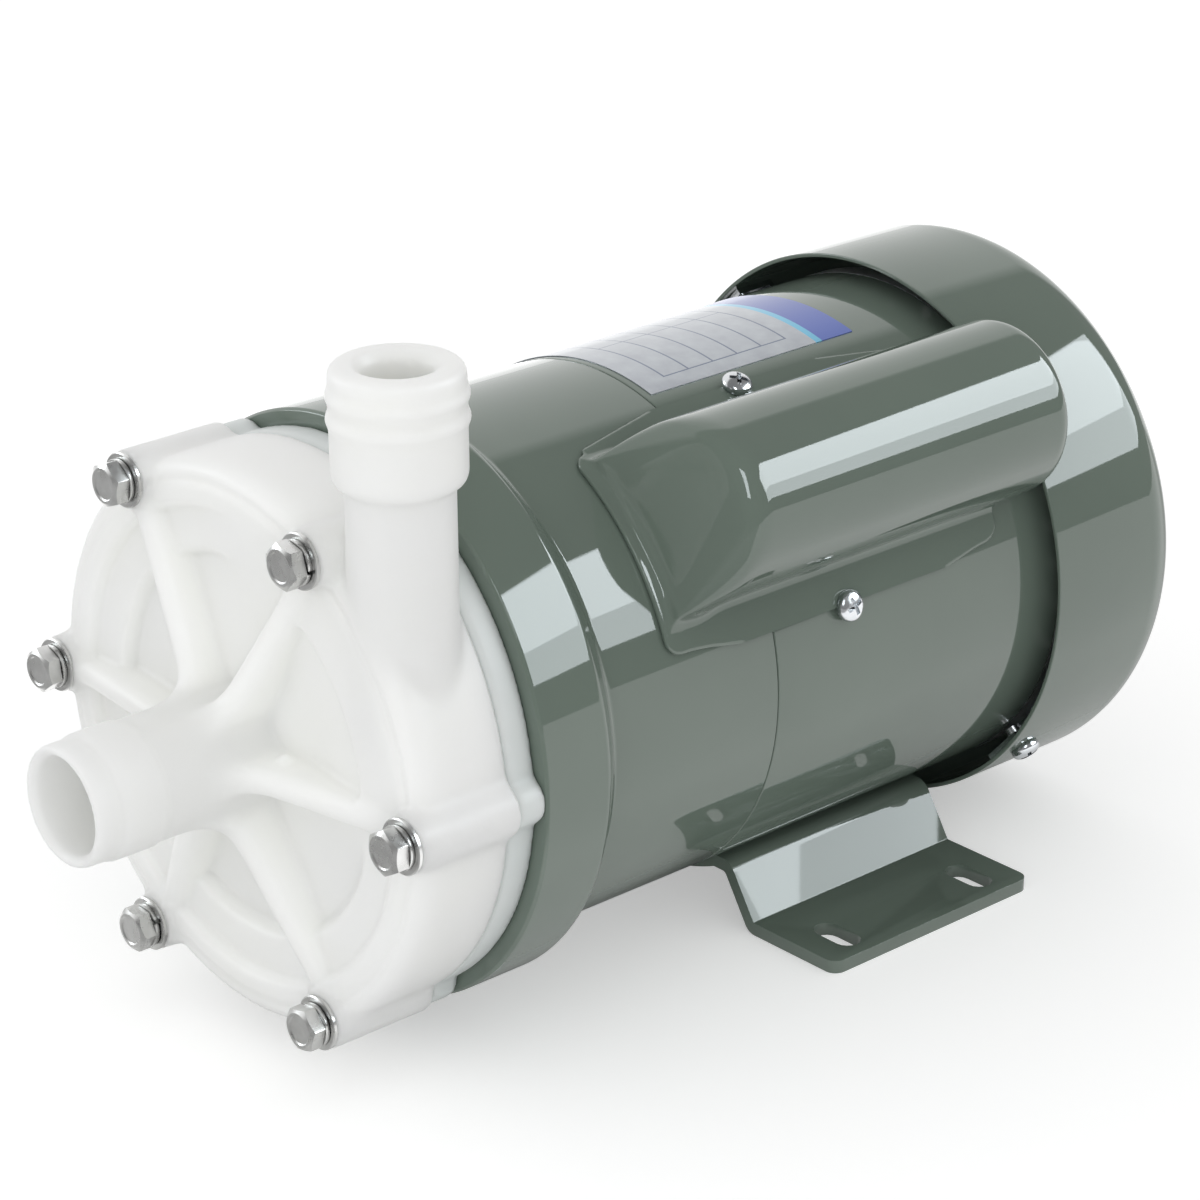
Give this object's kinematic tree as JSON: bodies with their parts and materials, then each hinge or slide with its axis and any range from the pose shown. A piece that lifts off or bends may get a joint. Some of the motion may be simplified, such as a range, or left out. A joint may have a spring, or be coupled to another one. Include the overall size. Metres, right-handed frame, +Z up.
{
  "type": "magnetic drive pump",
  "caption": "Horizontal magnetic drive pump: moulded casing with front inlet and side top outlet, driven through a containment can by a capacitor motor on a sheet foot.",
  "frame": {"origin": "centre of the four foot slots, on the underside of the foot", "axes": "+Z up, +Y along the shaft from the inlet nozzle to the fan cover, +X to the side of the outlet nozzle"},
  "size_m": [0.1399, 0.2784, 0.169],
  "materials": {
    "translucent_polypropylene": "natural, slightly translucent, satin gloss",
    "white_polypropylene": "natural white moulding",
    "wear_polymer": "cream filled polymer",
    "ceramic_white": "ground white ceramic",
    "seal_rubber": "black rubber",
    "stainless_steel": "stainless, lightly turned",
    "zinc_steel": "bright zinc plating",
    "bearing_steel": "ground steel",
    "lamination_steel": "stacked laminations",
    "yoke_iron": "turned iron, oiled",
    "cast_aluminium": "die cast, as cast",
    "magnet_dark": "dark grey sintered ferrite",
    "copper_winding": "varnished copper wire",
    "green_enamel": "glossy grey-green enamel",
    "fan_plastic": "black moulding",
    "capacitor_case": "off-white moulded case",
    "label_film": "silver film with plain ruled lines and a colour band"
  },
  "bodies": {
    "pump_body": {"front_casing": "translucent_polypropylene", "mouth_ring": "wear_polymer", "casing_seal": "seal_rubber", "rear_casing": "white_polypropylene", "casing_bolts": "stainless_steel", "spring_washers": "stainless_steel", "flat_washers": "stainless_steel", "spindle": "ceramic_white", "front_thrust_ring": "ceramic_white", "rear_thrust_ring": "ceramic_white", "motor_bracket": "green_enamel", "front_bearing_outer_ring": "bearing_steel", "rear_bearing_outer_ring": "bearing_steel", "preload_washer": "bearing_steel", "motor_shell": "green_enamel", "stator_core": "lamination_steel", "stator_windings": "copper_winding", "rear_end_bracket": "cast_aluminium", "tie_bolts": "zinc_steel", "fan_cover": "green_enamel", "fan_cover_tabs": "zinc_steel", "fan_cover_screws": "zinc_steel", "capacitor": "capacitor_case", "capacitor_strap": "zinc_steel", "capacitor_cover": "green_enamel", "capacitor_cover_screws": "zinc_steel", "cable_grommet": "seal_rubber", "base_foot": "green_enamel", "name_plate": "label_film"},
    "motor_rotor": {"motor_shaft": "bearing_steel", "rotor_core": "lamination_steel", "rotor_end_rings": "cast_aluminium", "front_bearing_inner_ring": "bearing_steel", "front_bearing_balls": "bearing_steel", "rear_bearing_inner_ring": "bearing_steel", "rear_bearing_balls": "bearing_steel", "drive_yoke": "yoke_iron", "drive_magnets": "magnet_dark", "yoke_set_screw": "bearing_steel", "fan": "fan_plastic", "fan_clip": "bearing_steel"},
    "impeller_rotor": {"impeller": "white_polypropylene", "impeller_shroud": "white_polypropylene", "magnet_capsule": "white_polypropylene", "capsule_cap": "white_polypropylene", "inner_yoke": "yoke_iron", "driven_magnets": "magnet_dark", "impeller_bush": "wear_polymer"}
  },
  "joints": [
    {"name": "motor_spin", "type": "hinge", "parent": "pump_body", "child": "motor_rotor", "pos_m": [0, 0, 0.072], "axis": [0, 1, 0], "continuous": true},
    {"name": "impeller_spin", "type": "hinge", "parent": "pump_body", "child": "impeller_rotor", "pos_m": [0, -0.1, 0.072], "axis": [0, 1, 0], "continuous": true}
  ],
  "couplings": [
    {"joint": "impeller_spin", "follows": "motor_spin", "ratio": 1}
  ]
}
